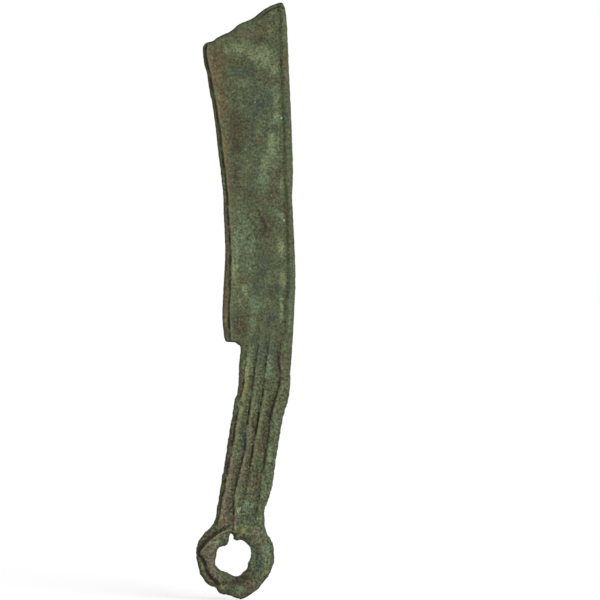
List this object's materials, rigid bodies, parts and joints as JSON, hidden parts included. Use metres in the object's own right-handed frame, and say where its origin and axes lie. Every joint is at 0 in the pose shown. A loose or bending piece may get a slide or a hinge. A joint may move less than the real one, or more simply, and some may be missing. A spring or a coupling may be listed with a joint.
{
  "type": "chinese knife money",
  "caption": "Flat cast bronze coin shaped like a knife, with a curved blade, raised rims, a ribbed handle and a ring at the end.",
  "frame": {"origin": "centre of the ring's hole, in the middle of the coin's thickness", "axes": "+Z from the ring towards the tip of the blade; +X towards the thick back of the knife; +Y out of the reverse, so the obverse faces -Y"},
  "size_m": [0.0224, 0.0022, 0.1372],
  "materials": {
    "patinated_bronze": "matte"
  },
  "bodies": {
    "root": {"blade_back_rim": "patinated_bronze", "blade_field": "patinated_bronze", "cutting_edge_rim": "patinated_bronze", "gate_stub": "patinated_bronze", "handle_back_rim": "patinated_bronze", "handle_front_rim": "patinated_bronze", "handle_web": "patinated_bronze", "obverse_chevron_inner": "patinated_bronze", "obverse_chevron_outer": "patinated_bronze", "obverse_rib_1": "patinated_bronze", "obverse_rib_2": "patinated_bronze", "reverse_bar_back": "patinated_bronze", "reverse_bar_front": "patinated_bronze", "reverse_pellet": "patinated_bronze", "reverse_rib_1": "patinated_bronze", "reverse_rib_2": "patinated_bronze", "ring": "patinated_bronze", "shoulder_rim": "patinated_bronze", "slanting_end_rim": "patinated_bronze"}
  },
  "joints": []
}
